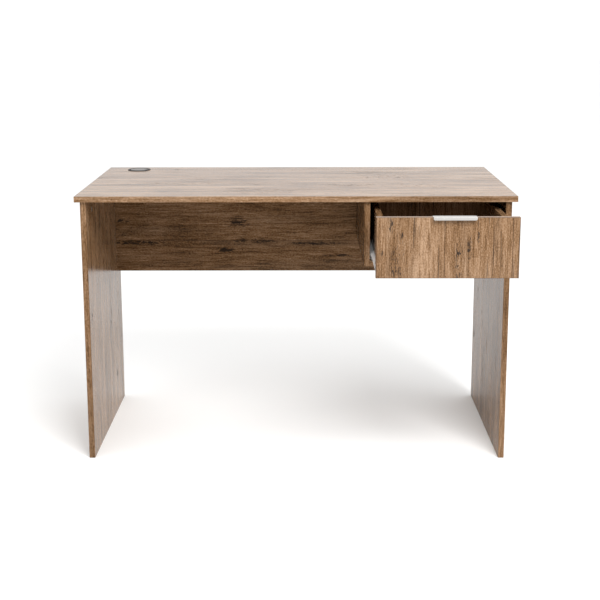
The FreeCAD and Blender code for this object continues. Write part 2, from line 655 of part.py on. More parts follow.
def make_drawer_rails():
    """A leg under the drawer side, a web up its face and a wing that runs on the cabinet roller."""
    web_out = "slide_gap - rail_steel"
    leg_end = f"{web_out} + drawer_rail_leg"
    outline = [(web_out, "drawer_rail_bottom"), (leg_end, "drawer_rail_bottom"),
               (leg_end, "drawer_rail_bottom + rail_steel"),
               ("slide_gap", "drawer_rail_bottom + rail_steel"),
               ("slide_gap", "drawer_rail_top"), ("drawer_rail_wing", "drawer_rail_top"),
               ("drawer_rail_wing", "drawer_rail_top - rail_steel"),
               (web_out, "drawer_rail_top - rail_steel")]
    body = rail_body("left_drawer_rail", outline, [
        ("rail_bend", [outline[0], outline[4]]),
        ("rail_bend / 2", [outline[7]]),
    ])
    sketch = new_sketch(body, "YZ_Plane", "slide_gap + 0.1")
    circle(sketch, ("rail_length - roller_inset", "drawer_roller_rise"), "axle_radius + 0.05")
    pocket(body, sketch, "2 * rail_steel")
    sketch = new_sketch(body, "XY_Plane", "drawer_rail_bottom + rail_steel + 0.1")
    for line in DRAWER_RAIL_SCREWS:
        circle(sketch, ("slide_gap + board / 2", f"{line} - {DRAWER_RAIL_FRONT}"), SMALL_RECESS)
    pocket(body, sketch, "2 * rail_steel")
    put(body, (BAY_LEFT, DRAWER_RAIL_FRONT, RAIL_BASE))
    sub_part(body, "left_drawer_rail")
    mirror_across_bay("right_drawer_rail", body)


ROLLER_PLACES = {
    "cabinet": (f"{CABINET_RAIL_FRONT} + roller_inset", f"{RAIL_BASE} + cabinet_roller_rise"),
    "drawer": (f"{DRAWER_RAIL_FRONT} + rail_length - roller_inset", f"{RAIL_BASE} + drawer_roller_rise"),
}
ROLLER_LINES = {"left": f"{BAY_LEFT} + roller_mid", "right": f"{BAY_RIGHT} - roller_mid"}


def make_rollers():
    half = "roller_width / 2"
    hub = "roller_radius * 0.45"
    rim = "roller_radius * 0.8"
    dish = f"({half} - 1)"
    chamfer = "0.6"
    profile = [(f"-{half}", "roller_bore"), (f"-{half}", hub), (f"-{dish}", hub), (f"-{dish}", rim),
               (f"-{half}", rim), (f"-{half}", f"roller_radius - {chamfer}"),
               (f"{chamfer} - {half}", "roller_radius"), (f"{half} - {chamfer}", "roller_radius"),
               (half, f"roller_radius - {chamfer}"), (half, rim), (dish, rim), (dish, hub), (half, hub),
               (half, "roller_bore")]
    for kind, (line, level) in ROLLER_PLACES.items():
        for side, across in ROLLER_LINES.items():
            body = new_body(f"{side}_{kind}_roller")
            revolve(body, profile)
            put(body, (across, line, level))
            sub_part(body, f"{side}_{kind}_roller")


def make_axles():
    """Riveted pins: flush in the rail's web, with a thin head that keeps the roller on."""
    axle = new_body("axle_master")
    revolve(axle, [("0", "0"), ("0", "axle_radius"), ("axle_reach", "axle_radius"),
                   ("axle_reach", "axle_head_radius"), ("axle_reach + axle_head / 2", "axle_head_radius"),
                   ("axle_reach + axle_head", "axle_head_radius - 0.6"), ("axle_reach + axle_head", "0")])
    line, level = ROLLER_PLACES["cabinet"]
    group("cabinet_roller_axles", axle, [
        ((BAY_LEFT, line, level), TO_RIGHT),
        ((BAY_RIGHT, line, level), TO_LEFT),
    ])
    line, level = ROLLER_PLACES["drawer"]
    group("drawer_roller_axles", axle, [
        ((DRAWER_LEFT, line, level), TO_LEFT),
        ((DRAWER_RIGHT, line, level), TO_RIGHT),
    ])


# ---------------------------------------------------------------- fasteners


def cam_lock_master():
    """Face at the origin, body towards +X, mouth for the bolt towards +Y."""
    body = new_body("cam_lock_master")
    revolve(body, [("0", "0"), ("0", "cam_radius - 0.5"), ("0.5", "cam_radius"),
                   ("cam_height", "cam_radius"), ("cam_height", "0")])
    mouth = new_sketch(body, "XZ_Plane", "-cam_radius - 1")
    box_outline(mouth, ("board / 2 - 3.3", "-3.3"), ("cam_height + 1", "3.3"))
    pocket(body, mouth, "cam_radius + 3", flip=True)
    cross = new_sketch(body, "YZ_Plane")
    box_outline(cross, ("-0.6", "-4"), ("0.6", "4"))
    pocket(body, cross, "1.5", flip=True)
    cross = new_sketch(body, "YZ_Plane")
    box_outline(cross, ("-4", "-0.6"), ("4", "0.6"))
    pocket(body, cross, "1.5", flip=True)
    return body


def cam_bolt_master():
    """Joint face at the origin, thread towards -X, head towards +X at the cam."""
    body = new_body("cam_bolt_master")
    head = "(cam_distance - 2.5)"
    revolve(body, [("-bolt_thread", "0"), ("-bolt_thread", "bolt_thread_radius - 0.8"),
                   ("1.2 - bolt_thread", "bolt_thread_radius"), ("0.2", "bolt_thread_radius"),
                   ("0.2", "bolt_shank_radius"), (f"{head} - 6", "bolt_shank_radius"),
                   (f"{head} - 5", "bolt_neck_radius"), (head, "bolt_neck_radius"),
                   (head, "bolt_shank_radius - 0.2"), (f"{head} + 3.2", "bolt_shank_radius - 0.2"),
                   (f"{head} + 3.2", "0")])
    return body


def dowel_master():
    """Joint face at the origin, short end towards -X."""
    body = new_body("dowel_master")
    revolve(body, [("-dowel_face_depth", "0"), ("-dowel_face_depth", "dowel_radius - 1"),
                   ("1 - dowel_face_depth", "dowel_radius"), ("dowel_edge_depth - 1", "dowel_radius"),
                   ("dowel_edge_depth", "dowel_radius - 1"), ("dowel_edge_depth", "0")])
    return body


def confirmat_master():
    """Head's face at the origin, tip towards +X."""
    body = new_body("confirmat_master")
    revolve(body, [("0", "0"), ("0", "confirmat_head_radius"), ("1", "confirmat_head_radius"),
                   ("confirmat_sink", "confirmat_shank_radius"),
                   ("confirmat_length - 4", "confirmat_shank_radius"), ("confirmat_length", "1"),
                   ("confirmat_length", "0")])
    key = new_sketch(body, "YZ_Plane")
    box_outline(key, ("-1.8", "-1.8"), ("1.8", "1.8"))
    pocket(body, key, "2.5", flip=True)
    return body


def small_screw_master(name, head_thickness, head_up):
    """Head's seat or face at the origin, tip towards +X; head_up lifts a pan head off the face."""
    body = new_body(name)
    top = f"-{head_thickness}" if head_up else "0"
    seat = "0" if head_up else head_thickness
    revolve(body, [(top, "0"), (top, "small_screw_head_radius - 0.4"),
                   (f"{top} + 0.4", "small_screw_head_radius"), (seat, "small_screw_head_radius"),
                   (seat, "small_screw_shank_radius"),
                   ("small_screw_length - 3", "small_screw_shank_radius"),
                   ("small_screw_length", "0.4"), ("small_screw_length", "0")])
    slot = new_sketch(body, "YZ_Plane", top)
    box_outline(slot, ("-2.2", "-0.4"), ("2.2", "0.4"))
    pocket(body, slot, "0.6", flip=True)
    slot = new_sketch(body, "YZ_Plane", top)
    box_outline(slot, ("-0.4", "-2.2"), ("0.4", "2.2"))
    pocket(body, slot, "0.6", flip=True)
    return body


def facing(axis_x, axis_y):
    """Rotation that takes the fastener's X and Y axes to two given directions."""
    x, y = FreeCAD.Vector(*axis_x), FreeCAD.Vector(*axis_y)
    return FreeCAD.Rotation(x, y, x.cross(y), "XYZ")


def make_carcass_fasteners():
    cam = cam_lock_master()
    bolt = cam_bolt_master()
    dowel = dowel_master()
    screw = confirmat_master()
    left, right, up, down, back, front = (
        (-1, 0, 0), (1, 0, 0), (0, 0, 1), (0, 0, -1), (0, 1, 0), (0, -1, 0))
    group("side_panel_cams", cam, [
        ((x, y, CAM_LEVEL), facing(into, up))
        for x, into in ((f"-{LEG_IN}", left), (LEG_IN, right)) for y in SIDE_CAM_LINES
    ])
    group("divider_cams", cam, [((BAY_LEFT, y, CAM_LEVEL), facing(left, up)) for y in BAY_LINES])
    group("modesty_cams", cam, [
        ((x, f"{MODESTY_FRONT} + board", z), facing(front, mouth))
        for x, mouth in ((f"cam_distance - {LEG_IN}", left), (f"{LEG_IN} - cam_distance", right))
        for z in MODESTY_CAM_LEVELS
    ])
    group("bay_floor_cams", cam, [
        ((f"{BAY_RIGHT} - cam_distance", y, BAY_BOTTOM), facing(up, right)) for y in BAY_LINES
    ])
    legs = (f"-{LEG_MID}", LEG_MID)
    bolts = [((x, y, UNDER_TOP), facing(down, back)) for x in legs for y in SIDE_CAM_LINES]
    bolts += [((DIVIDER_MID, y, UNDER_TOP), facing(down, back)) for y in BAY_LINES]
    bolts += [((f"-{LEG_IN}", MODESTY_MID, z), TO_RIGHT) for z in MODESTY_CAM_LEVELS]
    bolts += [((LEG_IN, MODESTY_MID, z), TO_LEFT) for z in MODESTY_CAM_LEVELS]
    bolts += [((BAY_RIGHT, y, BAY_FLOOR_MID), TO_LEFT) for y in BAY_LINES]
    group("carcass_cam_bolts", bolt, bolts)
    dowels = [((x, y, UNDER_TOP), facing(down, back)) for x in legs for y in SIDE_DOWEL_LINES]
    dowels += [((DIVIDER_MID, BAY_DOWEL_LINE, UNDER_TOP), facing(down, back))]
    dowels += [((x, MODESTY_MID, UNDER_TOP), facing(down, back)) for x in MODESTY_DOWEL_LINES]
    dowels += [((f"-{LEG_IN}", MODESTY_MID, MODESTY_DOWEL_LEVEL), TO_RIGHT)]
    dowels += [((LEG_IN, MODESTY_MID, MODESTY_DOWEL_LEVEL), TO_LEFT)]
    group("carcass_dowels", dowel, dowels)
    rear = f"{MODESTY_FRONT} + board"
    screws = [(("divider_left", y, BAY_FLOOR_MID), TO_RIGHT) for y in BAY_SCREW_LINES]
    screws += [((DIVIDER_MID, rear, z), TO_FRONT) for z in DIVIDER_SCREW_LEVELS]
    screws += [((x, rear, BAY_FLOOR_MID), TO_FRONT) for x in BAY_BACK_SCREWS]
    group("carcass_confirmat_screws", screw, screws)

    cam_line = f"{DRAWER_BACK_OF_FRONT} + cam_distance"
    group("drawer_cams", cam, [
        ((x, cam_line, z), facing(into, front))
        for x, into in ((DRAWER_LEFT, right), (DRAWER_RIGHT, left)) for z in DRAWER_CAM_LEVELS
    ])
    group("drawer_cam_bolts", bolt, [
        ((x, DRAWER_BACK_OF_FRONT, z), TO_BACK) for x in DRAWER_SIDE_MIDS for z in DRAWER_CAM_LEVELS
    ])
    group("drawer_dowels", dowel, [
        ((x, DRAWER_BACK_OF_FRONT, DRAWER_DOWEL_LEVEL), TO_BACK) for x in DRAWER_SIDE_MIDS
    ])
    group("drawer_confirmat_screws", screw, [
        ((x, DRAWER_BACK_MID, z), turn)
        for x, turn in ((DRAWER_LEFT, TO_RIGHT), (DRAWER_RIGHT, TO_LEFT)) for z in DRAWER_SCREW_LEVELS
    ])


def make_small_screws():
    flush = small_screw_master("rail_screw_master", "rail_steel", head_up=False)
    group("cabinet_rail_screws", flush, [
        ((f"{x} + {step}", y, RAIL_SCREW_LEVEL), turn)
        for x, step, turn in ((BAY_LEFT, "rail_steel", TO_LEFT), (BAY_RIGHT, "-rail_steel", TO_RIGHT))
        for y in RAIL_SCREW_LINES
    ])
    under = f"{RAIL_BASE} + drawer_rail_bottom"
    group("drawer_rail_screws", flush, [
        ((x, y, under), UP) for x in DRAWER_SIDE_MIDS for y in DRAWER_RAIL_SCREWS
    ])
    pan = small_screw_master("pull_screw_master", "2", head_up=True)
    group("pull_screws", pan, [
        ((x, f"{DRAWER_BACK_OF_FRONT} + pull_metal", PULL_SCREW_LEVEL), TO_FRONT) for x in PULL_SCREWS
    ])


# ---------------------------------------------------------------- pull and grommet


def make_edge_pull():
    """A bent plate: lip in front, flat over the drawer front's top edge, leg down its back."""
    body = new_body("edge_pull")
    metal = "pull_metal"
    rear = "board + pull_metal"
    inner_lip = f"{metal} - pull_reach"
    outline = [("-pull_reach", metal), ("-pull_reach", "pull_metal - pull_lip"),
               (inner_lip, "pull_metal - pull_lip"), (inner_lip, "0"), ("board", "0"),
               ("board", "-pull_leg"), (rear, "-pull_leg"), (rear, metal)]
    sketch = new_sketch(body, "YZ_Plane")
    polygon(sketch, outline)
    pad(body, sketch, "pull_length")
    lip_bottom, leg_bottom = value("pull_metal - pull_lip"), value("-pull_leg")
    round_edges(body, "pull_corner", lambda a, b: abs(a.x - b.x) + abs(a.z - b.z) < 1e-6
                and min(abs(a.z - lip_bottom), abs(a.z - leg_bottom)) < 1e-6)
    top = value(metal)
    round_edges(body, "pull_metal", lambda a, b: abs(a.x - b.x) > 1 and abs(a.z - top) < 1e-6
                and abs(b.z - top) < 1e-6)
    holes = new_sketch(body, "XZ_Plane", f"-({rear}) - 1")
    for step in ("-pull_screw_spacing / 2", "pull_screw_spacing / 2"):
        circle(holes, (f"pull_length / 2 + {step}", "-pull_screw_drop"), "small_screw_shank_radius + 0.2")
    pocket(body, holes, "pull_metal + 1.5", flip=True)
    put(body, (f"{PULL_MID} - pull_length / 2", DRAWER_FACE, FRONT_TOP))
    sub_part(body, "edge_pull")


def spin_about_z(body, points):
    """Turn a profile of (radius, height) points about the body's Z axis."""
    sketch = new_sketch(body, "XZ_Plane")
    polygon(sketch, points)
    feature = body.newObject("PartDesign::Revolution", "Revolution")
    feature.Profile = sketch
    feature.ReferenceAxis = (sketch, ["V_Axis"])
    feature.Angle = 360
    return feature


def make_grommet():
    centre = ("grommet_left", f"{FRONT} + grommet_back", "desk_height")
    liner = new_body("grommet_liner")
    under = "-liner_ledge_drop - 1.5"
    wall = "(liner_sleeve_radius - 1.6)"
    spin_about_z(liner, [
        ("liner_ledge_radius", "-liner_ledge_drop"), ("liner_bore_radius", "-liner_ledge_drop"),
        ("liner_bore_radius", "liner_flange - 0.4"), ("liner_bore_radius + 0.4", "liner_flange"),
        ("liner_flange_radius - 2", "liner_flange"), ("liner_flange_radius - 0.6", "liner_flange - 0.6"),
        ("liner_flange_radius", "0.5"), ("liner_flange_radius", "0"), ("liner_sleeve_radius", "0"),
        ("liner_sleeve_radius", "1 - liner_depth"), ("liner_sleeve_radius - 0.6", "-liner_depth"),
        (wall, "-liner_depth"), (wall, f"{under} - 3"), ("liner_ledge_radius", under),
    ])
    put(liner, centre)
    sub_part(liner, "grommet_liner")
    cap = new_body("grommet_cap")
    low = "-liner_ledge_drop"
    high = f"{low} + cap_thickness"
    spin_about_z(cap, [
        ("0", low), ("cap_radius", low), ("cap_radius", f"{high} - 0.5"), ("cap_radius - 0.5", high),
        ("cap_radius - 3", high), ("cap_radius - 4", f"{high} - 0.5"), ("0", f"{high} - 0.5"),
    ])
    slot = new_sketch(cap, "XY_Plane", high)
    box_outline(slot, ("cap_slot_inner", "-cap_slot_width / 2"), ("cap_radius + 1", "cap_slot_width / 2"))
    pocket(cap, slot, "cap_thickness + 1")
    inner = value("cap_slot_inner")
    round_edges(cap, "cap_slot_round", lambda a, b: abs(a.x - b.x) + abs(a.y - b.y) < 1e-6
                and abs(a.x - inner) < 1e-6)
    put(cap, centre)
    sub_part(cap, "grommet_cap")


# ---------------------------------------------------------------- build, check and write

make_top()
make_side_panel("left", f"-{LEG_OUT}", f"-{LEG_IN}", "+X", f"-{LEG_MID}")
make_side_panel("right", LEG_IN, LEG_OUT, "-X", LEG_MID)
make_modesty_panel()
make_divider()
make_bay_floor()
make_drawer_front()
make_drawer_side("left", DRAWER_LEFT, f"{DRAWER_LEFT} + board", "-X", "+X", DRAWER_SIDE_MIDS[0])
make_drawer_side("right", f"{DRAWER_RIGHT} - board", DRAWER_RIGHT, "+X", "-X", DRAWER_SIDE_MIDS[1])
make_drawer_back_and_bottom()
make_cabinet_rails()
make_drawer_rails()
make_rollers()
make_axles()
make_carcass_fasteners()
make_small_screws()
make_edge_pull()
make_grommet()
doc.recompute()

for thing in doc.Objects:
    if "Invalid" in thing.State or "Error" in thing.State:
        raise SystemExit(f"{thing.Label} failed: {thing.State}")
for thing in SUB_PARTS:
    if thing.Shape.isNull() or not thing.Shape.isValid():
        raise SystemExit(f"{thing.Label} has no valid shape")

os.makedirs("parts", exist_ok=True)
for thing in SUB_PARTS:
    thing.Shape.exportStep(os.path.join("parts", f"{thing.Label}.step"))
    box = thing.Shape.BoundBox
    print(f"{thing.Label:28s} solids {len(thing.Shape.Solids):2d}  x {box.XMin:8.2f} {box.XMax:8.2f}  "
          f"y {box.YMin:8.2f} {box.YMax:8.2f}  z {box.ZMin:7.2f} {box.ZMax:7.2f}")
print(len(SUB_PARTS), "sub-parts")
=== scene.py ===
"""Looks for the writing desk: laminate boards, edge bands, slides, pull, grommet, studio and camera."""
import json
import math

import bpy
from mathutils import Matrix, Vector


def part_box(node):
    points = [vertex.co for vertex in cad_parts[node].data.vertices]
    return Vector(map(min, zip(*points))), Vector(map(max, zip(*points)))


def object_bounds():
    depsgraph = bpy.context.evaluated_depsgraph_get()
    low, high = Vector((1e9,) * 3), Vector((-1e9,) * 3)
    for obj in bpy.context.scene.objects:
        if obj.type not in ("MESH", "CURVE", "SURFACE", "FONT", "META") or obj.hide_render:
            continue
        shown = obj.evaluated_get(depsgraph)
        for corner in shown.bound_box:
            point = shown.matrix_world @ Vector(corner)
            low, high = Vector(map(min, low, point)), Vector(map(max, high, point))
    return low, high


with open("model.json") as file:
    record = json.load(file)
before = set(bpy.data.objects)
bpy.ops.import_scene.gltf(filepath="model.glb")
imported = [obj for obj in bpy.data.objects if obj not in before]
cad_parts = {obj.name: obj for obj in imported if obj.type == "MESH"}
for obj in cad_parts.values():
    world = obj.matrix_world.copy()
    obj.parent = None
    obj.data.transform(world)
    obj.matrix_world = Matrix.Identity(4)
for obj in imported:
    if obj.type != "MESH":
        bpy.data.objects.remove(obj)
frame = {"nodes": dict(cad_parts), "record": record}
cad_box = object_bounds()
NODES = frame["nodes"]
MM = 0.001
AXES = "XYZ"

# ------------------------------------------------------------------ node tree helpers


class Tree:
    """Short names for the shader nodes that the materials below are built from."""

    def __init__(self, tree):
        self.tree = tree

    def add(self, kind, inputs=None, **settings):
        node = self.tree.nodes.new(kind)
        for name, setting in settings.items():
            setattr(node, name, setting)
        for name, wanted in (inputs or {}).items():
            self.feed(node.inputs[name], wanted)
        return node

    def feed(self, socket, wanted):
        if isinstance(wanted, bpy.types.NodeSocket):
            self.tree.links.new(wanted, socket)
        else:
            socket.default_value = wanted

    def math(self, operation, *values):
        node = self.add("ShaderNodeMath", operation=operation)
        for socket, wanted in zip(node.inputs, values):
            self.feed(socket, wanted)
        return node.outputs[0]

    def vector(self, operation, *values):
        node = self.add("ShaderNodeVectorMath", operation=operation)
        for socket, wanted in zip(node.inputs, values):
            self.feed(socket, wanted)
        return node.outputs[0]

    def split(self, vector):
        return self.add("ShaderNodeSeparateXYZ", {"Vector": vector}).outputs

    def join(self, x, y, z):
        return self.add("ShaderNodeCombineXYZ", {"X": x, "Y": y, "Z": z}).outputs[0]

    def noise(self, point, stretch, detail=2.0, roughness=0.5, distortion=0.0):
        """Noise over a point stretched by (along, across, seed)."""
        place = self.vector("MULTIPLY", point, stretch)
        node = self.add("ShaderNodeTexNoise", {
            "Vector": place, "Scale": 1.0, "Detail": detail, "Roughness": roughness,
            "Distortion": distortion})
        return node.outputs[0]

    def step(self, value, low, high, to_low=0.0, to_high=1.0):
        """Smooth step of a value from low to high."""
        return self.add("ShaderNodeMapRange", {
            "Value": value, "From Min": low, "From Max": high, "To Min": to_low, "To Max": to_high},
            interpolation_type="SMOOTHSTEP").outputs[0]

    def ramp(self, value, stops):
        node = self.add("ShaderNodeValToRGB", {"Fac": value})
        band = node.color_ramp
        while len(band.elements) < len(stops):
            band.elements.new(0.5)
        for element, (place, colour) in zip(band.elements, stops):
            element.position = place
            element.color = (*colour, 1.0)
        return node.outputs[0]

    def mix(self, factor, a, b, blend="MIX"):
        node = self.add("ShaderNodeMix", data_type="RGBA", blend_type=blend)
        self.feed(node.inputs["Factor"], factor)
        for socket, wanted in ((node.inputs[6], a), (node.inputs[7], b)):
            self.feed(socket, wanted if isinstance(wanted, bpy.types.NodeSocket) else (*wanted, 1.0))
        return node.outputs[2]


def new_group(name, inputs, outputs):
    group = bpy.data.node_groups.new(name, "ShaderNodeTree")
    for side, sockets in (("INPUT", inputs), ("OUTPUT", outputs)):
        for label, kind in sockets:
            group.interface.new_socket(label, in_out=side, socket_type=f"NodeSocket{kind}")
    tree = Tree(group)
    return group, tree, tree.add("NodeGroupInput").outputs, tree.add("NodeGroupOutput").inputs


# ------------------------------------------------------------------ printed oak

WOOD_STOPS = [
    (0.00, (0.024, 0.011, 0.004)), (0.25, (0.080, 0.038, 0.013)), (0.50, (0.154, 0.082, 0.037)),
    (0.75, (0.222, 0.131, 0.072)), (1.00, (0.310, 0.200, 0.122)),
]
CRACK = (0.010, 0.006, 0.004)
KNOT = (0.020, 0.010, 0.005)
HALO = (0.075, 0.036, 0.016)
JOINT = (0.026, 0.013, 0.007)
PORE = (0.052, 0.027, 0.013)
GREY = (0.165, 0.118, 0.082)
BASE_SHADE = 0.55
SCAR_SHADE = -0.11          # scars are darker than the wood around them
RINGS_PER_METRE = 46.0
KNOT_CELL = (2.7, 6.6)      # knot cells to a metre, along the grain and across it
KNOT_SIZE = (0.003, 0.006)  # radius of the smallest knot, and how much larger the largest one is
JOINT_FADE = (0.0022, 0.0008)   # how far from a plank's edge its dark line starts, and is full
JOINT_WANDER = 0.0016


def oak_group():
    """A printed weathered oak: point.x runs along the grain and point.y across it, in metres."""
    group, t, given, out = new_group(
        "oak_print",
        [("Point", "Vector"), ("Figure", "Float"), ("Tone", "Float"), ("Plank", "Float"), ("Knots", "Float"),
         ("Scars", "Float"), ("Contrast", "Float")],
        [("Color", "Color"), ("Roughness", "Float"), ("Height", "Float")])
    point, figure, tone, plank = given["Point"], given["Figure"], given["Tone"], given["Plank"]
    scars = given["Scars"]
    x, y, seed = t.split(point)

    # planks side by side, each with its own tone and its own stretch of the pattern
    rows = t.math("DIVIDE", y, plank)
    row = t.math("FLOOR", rows)
    dice = t.add("ShaderNodeTexWhiteNoise", {"Vector": t.join(row, seed, 0.37)}, noise_dimensions="3D")
    plank_tone = dice.outputs["Value"]
    part = t.math("FRACT", rows)
    edge = t.math("MULTIPLY", t.math("MINIMUM", part, t.math("SUBTRACT", 1.0, part)), plank)
    wander = t.math("MULTIPLY", t.noise(point, (26.0, 1.0, 1.0), detail=3.0), JOINT_WANDER)
    joint = t.math("MULTIPLY", t.step(t.math("ADD", edge, wander), *JOINT_FADE), figure)
    shifted = t.math("MULTIPLY_ADD", plank_tone, 5.3, x)

    # knots: one to a long cell, in some of the cells
    spot = t.add("ShaderNodeTexVoronoi", {
        "Vector": t.join(t.math("MULTIPLY", shifted, KNOT_CELL[0]),
                         t.math("MULTIPLY", y, KNOT_CELL[1]), seed),
        "Scale": 1.0, "Randomness": 0.85}, voronoi_dimensions="3D")
    centre = t.split(spot.outputs["Position"])
    draw = t.add("ShaderNodeSeparateColor", {"Color": spot.outputs["Color"]}).outputs
    dx = t.math("SUBTRACT", shifted, t.math("DIVIDE", centre[0], KNOT_CELL[0]))
    dy = t.math("SUBTRACT", y, t.math("DIVIDE", centre[1], KNOT_CELL[1]))
    here = t.math("MULTIPLY", t.step(draw[0], 0.42, 0.44), given["Knots"])
    size = t.math("MULTIPLY_ADD", draw[1], KNOT_SIZE[1], KNOT_SIZE[0])

    def bell(long, wide):
        """1 at the knot, falling off over long metres along the grain and wide across it."""
        a = t.math("POWER", t.math("DIVIDE", t.math("ABSOLUTE", dx), long), 2.0)
        b = t.math("POWER", t.math("DIVIDE", t.math("ABSOLUTE", dy), wide), 2.0)
        return t.math("MULTIPLY", t.math("EXPONENT", t.math("MULTIPLY", t.math("ADD", a, b), -1.0)), here)

    # the grain flows round the knots and drifts slowly across the board
    drift = t.noise(t.join(shifted, y, seed), (1.3, 4.0, 1.0))
    drift = t.math("MULTIPLY", t.math("SUBTRACT", drift, 0.5), 0.05)
    flow = t.math("SUBTRACT", t.math("ADD", y, drift),
                  t.math("MULTIPLY", dy, t.math("MULTIPLY", bell(0.075, 0.026), 0.85)))
    grain = t.join(shifted, flow, seed)

    # broad streaks, fibres, speckle and growth rings as contour lines
    level = t.math("MULTIPLY_ADD", t.noise(grain, (0.8, 6.0, 1.0), detail=1.0), 7.0,
                   t.math("MULTIPLY", flow, RINGS_PER_METRE))
    rings = t.math("MULTIPLY_ADD", t.math("SINE", t.math("MULTIPLY", level, 2.0 * math.pi)), 0.5, 0.5)
    broad = t.noise(grain, (2.2, 17.0, 3.0), detail=3.0, roughness=0.85)
    streak = t.noise(grain, (6.0, 110.0, 5.0), detail=4.0, roughness=0.85)
    fibre = t.noise(grain, (17.0, 300.0, 7.0), detail=2.0, roughness=0.8)
    speckle = t.noise(grain, (210.0, 420.0, 8.0), detail=1.0, roughness=0.7)
    pores = t.step(t.noise(grain, (42.0, 330.0, 9.0), detail=2.0, roughness=0.7), 0.58, 0.68)
    patina = t.noise(grain, (9.0, 16.0, 4.0), detail=3.0)
    lines = t.noise(grain, (1.5, 52.0, 12.0), detail=2.0, roughness=0.65)

    # contrast strengthens the broad streaks up to a limit, and above 1 it brings out the dark lines
    lined = t.math("MAXIMUM", t.math("MULTIPLY_ADD", given["Contrast"], 2.6, -2.6), 0.0)
    blotched = t.math("MINIMUM", given["Contrast"], 1.5)
    shade = BASE_SHADE
    for pattern, weight in ((broad, blotched), (lines, lined), (streak, 1.05), (fibre, 1.15),
                            (speckle, 1.10), (patina, 0.42), (rings, 0.07), (plank_tone, 0.08)):
        shade = t.math("MULTIPLY_ADD", t.math("SUBTRACT", pattern, 0.5), weight, shade)
    shade = t.math("ADD", shade, t.math("MULTIPLY_ADD", scars, SCAR_SHADE, tone))
    wood = t.ramp(shade, WOOD_STOPS)
    grey = t.noise(grain, (3.0, 34.0, 11.0), detail=2.0)
    wood = t.mix(t.step(grey, 0.50, 0.70, 0.0, 0.14), wood, GREY)

    # weather cracks: short dark strokes that crowd together here and there, and round the knots
    crowd = t.step(t.noise(t.join(shifted, y, seed), (2.6, 9.0, 6.0), detail=1.0), 0.57, 0.69)
    crowd = t.math("MAXIMUM", t.math("MAXIMUM", crowd, bell(0.055, 0.014)), t.step(scars, 0.05, 0.45))
    torn = t.noise(grain, (40.0, 150.0, 13.0), detail=4.0, roughness=0.70, distortion=1.6)
    torn = t.math("MULTIPLY_ADD", scars, 0.13, torn)
    cracks = t.math("MULTIPLY", t.step(torn, 0.580, 0.602), crowd)
    hair = t.math("MULTIPLY", t.step(t.noise(grain, (6.5, 260.0, 15.0), detail=2.0), 0.595, 0.66),
                  t.step(t.noise(grain, (1.9, 11.0, 16.0)), 0.46, 0.60))
    cracks = t.math("MULTIPLY", t.math("MAXIMUM", cracks, t.math("MULTIPLY", hair, 0.7)), figure)
    pin_cell = t.add("ShaderNodeTexVoronoi", {
        "Vector": t.vector("MULTIPLY", grain, (18.0, 24.0, 1.0)), "Scale": 1.0}, voronoi_dimensions="3D")
    pin_draw = t.add("ShaderNodeSeparateColor", {"Color": pin_cell.outputs["Color"]}).outputs
    pins = t.math("MULTIPLY", t.step(pin_cell.outputs["Distance"], 0.060, 0.030),
                  t.step(pin_draw[0], 0.72, 0.73))
    pins = t.math("MULTIPLY", pins, figure)

    # the knot itself: a ragged dark heart in a warm halo
    ragged = t.noise(point, (150.0, 230.0, 2.0), detail=3.0, roughness=0.7)
    ragged = t.math("MULTIPLY_ADD", ragged, 2.2, -0.1)
    far = t.math("SQRT", t.math("ADD", t.math("POWER", t.math("MULTIPLY", dx, 0.6), 2.0),
                                t.math("POWER", t.math("ABSOLUTE", dy), 2.0)))
    heart = t.math("DIVIDE", t.math("MULTIPLY", far, ragged), size)
    knot = t.math("MULTIPLY", t.step(heart, 1.10, 0.60), here)
    halo = t.math("MULTIPLY", bell(0.034, 0.0105), 0.7)

    colour = t.mix(halo, wood, HALO)
    for mark, cover, tint in ((pores, 0.42, PORE), (joint, 0.80, JOINT), (knot, 0.90, KNOT),
                              (cracks, 0.88, CRACK), (pins, 0.85, KNOT)):
        colour = t.mix(t.math("MULTIPLY", mark, cover), colour, tint)
    t.feed(out["Color"], colour)
    rough = t.math("MULTIPLY_ADD", streak, 0.14, 0.135)
    rough = t.math("MULTIPLY_ADD", t.math("MAXIMUM", cracks, knot), 0.30, rough)
    t.feed(out["Roughness"], rough)
    height = t.math("MULTIPLY_ADD", fibre, 0.35, t.math("MULTIPLY", pores, -0.45))
    for mark, relief in ((cracks, -1.0), (joint, -0.8), (knot, -0.5)):
        height = t.math("MULTIPLY_ADD", mark, relief, height)
    t.feed(out["Height"], height)
    return group


def chipboard_group():
    """The pressed core of the boards, seen on edges with no band and inside holes."""
    group, t, given, out = new_group(
        "chipboard", [("Point", "Vector")], [("Color", "Color"), ("Roughness", "Float")])
    point = given["Point"]
    flakes = t.add("ShaderNodeTexVoronoi", {
        "Vector": t.vector("MULTIPLY", point, (420.0, 420.0, 900.0)), "Scale": 1.0},
        voronoi_dimensions="3D")
    tint = t.add("ShaderNodeSeparateColor", {"Color": flakes.outputs["Color"]}).outputs[0]
    fine = t.noise(point, (900.0, 900.0, 900.0), detail=3.0)
    shade = t.math("ADD", t.math("MULTIPLY", tint, 0.6), t.math("MULTIPLY", fine, 0.4))
    t.feed(out["Color"], t.ramp(shade, [(0.1, (0.17, 0.105, 0.055)), (0.5, (0.40, 0.27, 0.155)),
                                        (0.9, (0.58, 0.43, 0.27))]))
    t.feed(out["Roughness"], t.math("MULTIPLY_ADD", fine, 0.2, 0.7))
    return group


OAK = oak_group()
CHIPBOARD = chipboard_group()


